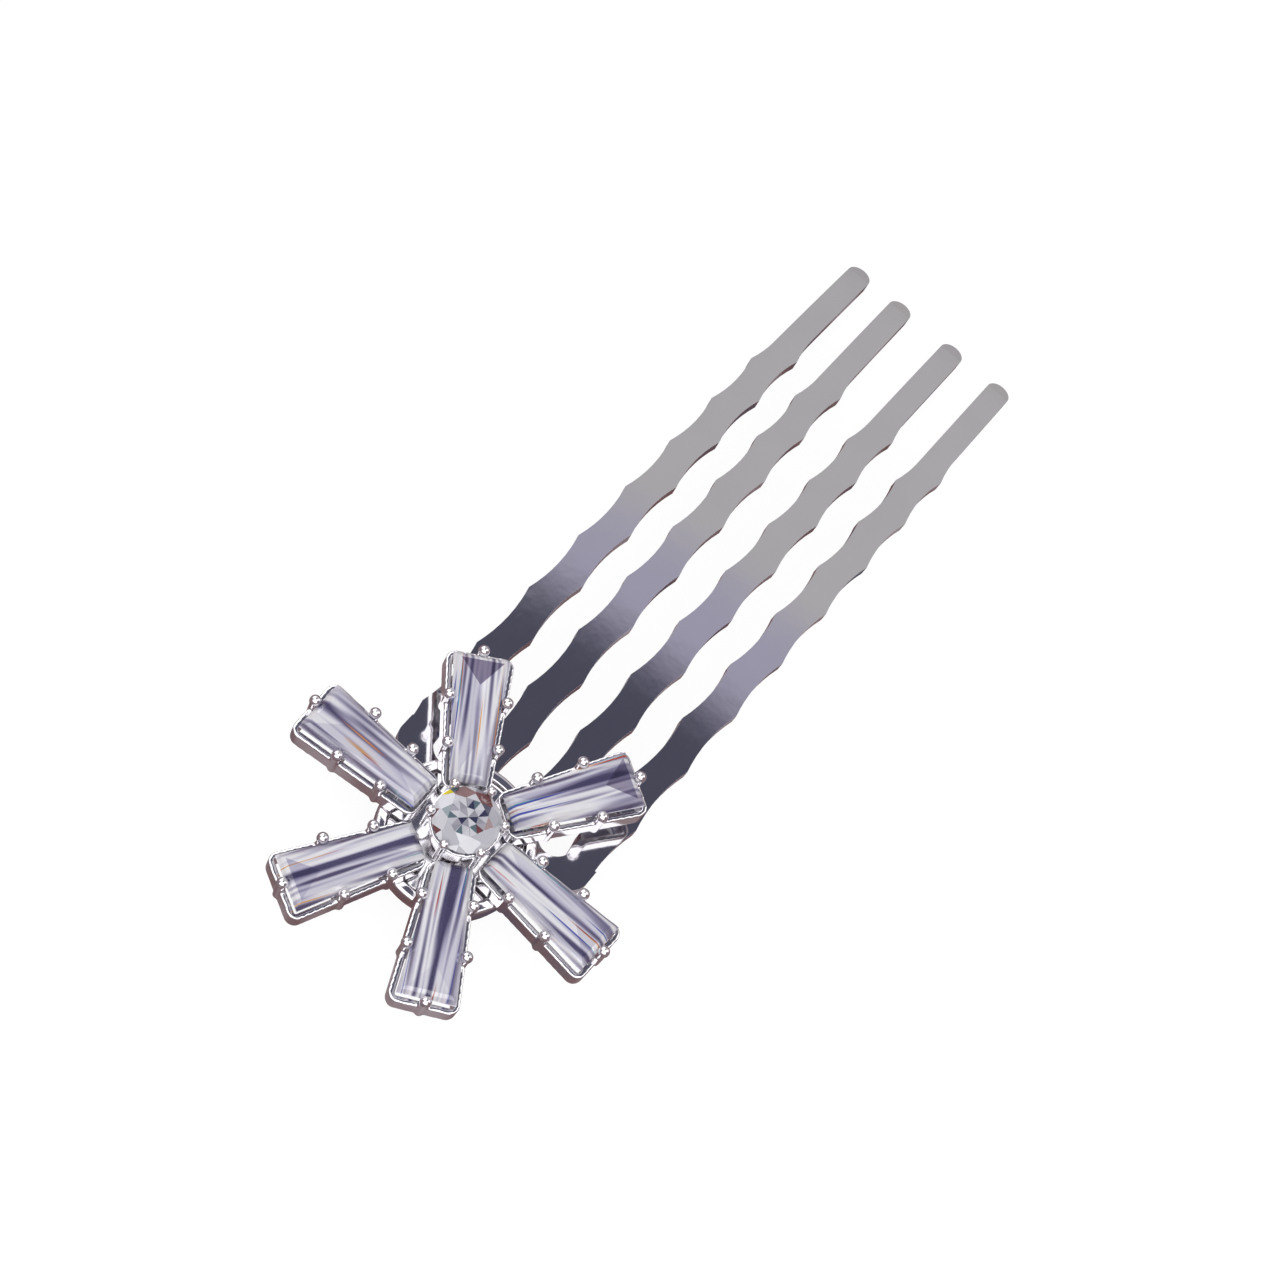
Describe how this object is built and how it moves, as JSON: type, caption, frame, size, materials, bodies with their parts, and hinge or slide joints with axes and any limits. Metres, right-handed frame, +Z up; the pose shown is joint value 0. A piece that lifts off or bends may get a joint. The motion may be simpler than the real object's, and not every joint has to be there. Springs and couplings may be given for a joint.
{
  "type": "decorative hair comb",
  "caption": "Metal hair comb with wavy teeth and a starburst flower of tapered baguette stones in pronged settings round a raised brilliant.",
  "frame": {"origin": "on the table under the middle of the comb's box, with the comb lying flower up on its tooth tips and the back of its head", "axes": "+Y from the flower to the tooth tips, +Z up, +X across the teeth"},
  "size_m": [0.0204, 0.0626, 0.0063],
  "materials": {
    "comb_plating": "polished rhodium-coloured plating on stamped sheet",
    "setting_plating": "polished rhodium-coloured plating on cast settings",
    "solder": "plated solder, slightly dull",
    "clear_stone": "clear faceted cubic zirconia"
  },
  "bodies": {
    "root": {"comb": "comb_plating", "head_solder": "solder", "base_disc": "setting_plating", "petal_solder": "solder", "centre_cup": "setting_plating", "centre_stone": "clear_stone", "petal_setting_1": "setting_plating", "petal_setting_2": "setting_plating", "petal_setting_3": "setting_plating", "petal_setting_4": "setting_plating", "petal_setting_5": "setting_plating", "petal_setting_6": "setting_plating", "petal_stone_1": "clear_stone", "petal_stone_2": "clear_stone", "petal_stone_3": "clear_stone", "petal_stone_4": "clear_stone", "petal_stone_5": "clear_stone", "petal_stone_6": "clear_stone"}
  },
  "joints": []
}
